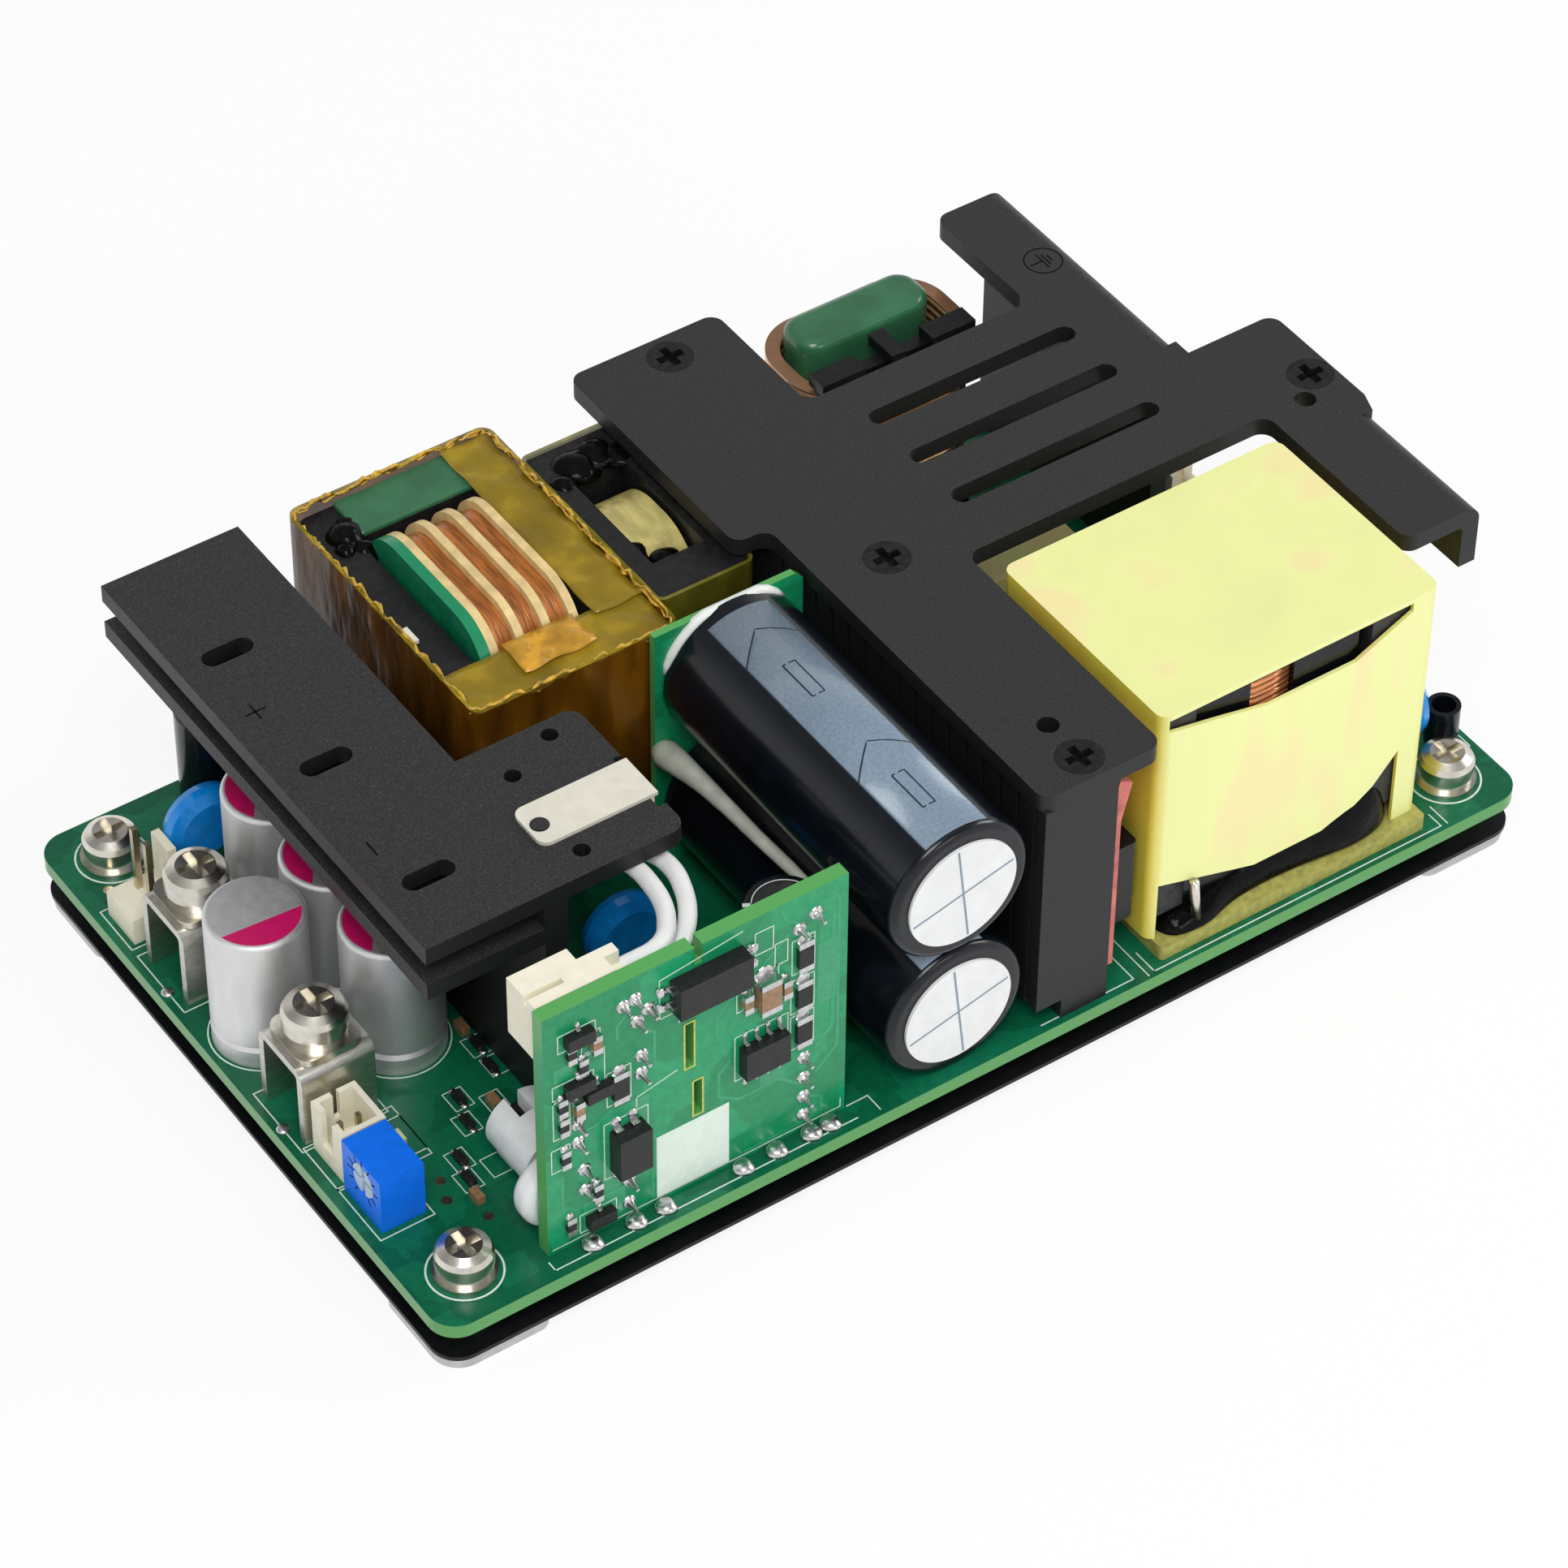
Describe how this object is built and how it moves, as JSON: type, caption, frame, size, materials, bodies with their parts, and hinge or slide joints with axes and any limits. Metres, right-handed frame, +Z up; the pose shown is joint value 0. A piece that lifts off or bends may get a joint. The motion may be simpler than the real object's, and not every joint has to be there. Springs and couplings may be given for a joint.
{
  "type": "open frame power supply",
  "caption": "Open frame power supply: a populated circuit board on a base plate, with plate heatsinks, taped transformers, stacked capacitors and screw terminals.",
  "frame": {"origin": "centre of the base plate's underside", "axes": "+X towards the supply input end, +Y towards the far long edge, +Z up out of the board"},
  "size_m": [0.127, 0.0762, 0.0381],
  "materials": {
    "dark_aluminium": "matte anodised",
    "light_aluminium": "satin",
    "black_insulation": "matte",
    "circuit_board_green": "satin",
    "bright_steel": "satin",
    "black_screw_steel": "satin",
    "red_silicone": "matte",
    "black_moulding": "satin",
    "yellow_tape": "glossy",
    "amber_tape": "glossy",
    "olive_tape": "glossy",
    "grey_ferrite": "matte",
    "black_ferrite": "matte",
    "green_coating": "satin",
    "copper_wire": "glossy",
    "cream_paper": "matte",
    "pale_yellow_drum": "satin",
    "black_sleeve": "glossy",
    "white_disc": "matte",
    "ivory_spring": "matte",
    "chip_black": "matte",
    "chip_tan": "matte",
    "silver_can": "satin",
    "blue_ceramic": "glossy",
    "white_nylon": "satin",
    "trimmer_blue": "glossy",
    "rotor_white": "matte",
    "lamp_clear": "glossy",
    "gold_pins": "glossy",
    "white_sleeve": "satin",
    "lead_white": "satin",
    "glass_tube": "glossy"
  },
  "bodies": {
    "supply": {"base_plate": "light_aluminium", "insulating_sheet": "black_insulation", "spacers": "light_aluminium", "circuit_board": "circuit_board_green", "corner_screws": "bright_steel", "corner_washers": "bright_steel", "main_heatsink_plate": "dark_aluminium", "heatsink_wall": "dark_aluminium", "heatsink_screws": "black_screw_steel", "plate_post": "light_aluminium", "silicone_pad": "red_silicone", "power_packages": "black_moulding", "choke_tape": "yellow_tape", "choke_tray": "yellow_tape", "choke_core": "grey_ferrite", "choke_bobbin": "black_moulding", "choke_coil": "copper_wire", "transformer_tape": "amber_tape", "transformer_core": "black_ferrite", "transformer_disc_board": "circuit_board_green", "winding_papers": "cream_paper", "copper_windings": "copper_wire", "small_transformer_tape": "olive_tape", "small_transformer_core": "black_ferrite", "small_transformer_winding": "pale_yellow_drum", "riser_board": "circuit_board_green", "storage_capacitors": "black_sleeve", "storage_end_discs": "white_disc", "output_heatsink": "dark_aluminium", "spring_clip": "ivory_spring", "control_board": "circuit_board_green", "control_board_packages": "chip_black", "chip_resistors": "chip_black", "chip_capacitors": "chip_tan", "output_capacitors": "silver_can", "standing_blue_can": "black_sleeve", "standing_black_can": "black_sleeve", "terminal_brackets": "bright_steel", "terminal_washers": "bright_steel", "terminal_screws": "bright_steel", "locking_header": "white_nylon", "shrouded_header": "white_nylon", "input_header": "white_nylon", "header_pins": "gold_pins", "trimmer_body": "trimmer_blue", "status_lamp": "lamp_clear", "disc_capacitors": "blue_ceramic", "lead_sleeve": "black_sleeve", "sleeved_coils": "white_sleeve", "coil_cores": "black_ferrite", "filter_core": "green_coating", "filter_coil": "copper_wire", "filter_bobbin": "black_moulding", "fuse": "glass_tube", "filter_capacitor": "yellow_tape", "lead_socket": "white_nylon", "lead_plug": "white_nylon", "first_white_lead": "lead_white", "second_white_lead": "lead_white"},
    "trimmer_rotor_body": {"trimmer_rotor": "rotor_white"}
  },
  "joints": [
    {"name": "trimmer_turn", "type": "hinge", "parent": "supply", "child": "trimmer_rotor_body", "pos_m": [-0.0617, -0.0211, 0.0108], "axis": [-1, 0, 0], "range_deg": [-120, 120]}
  ]
}
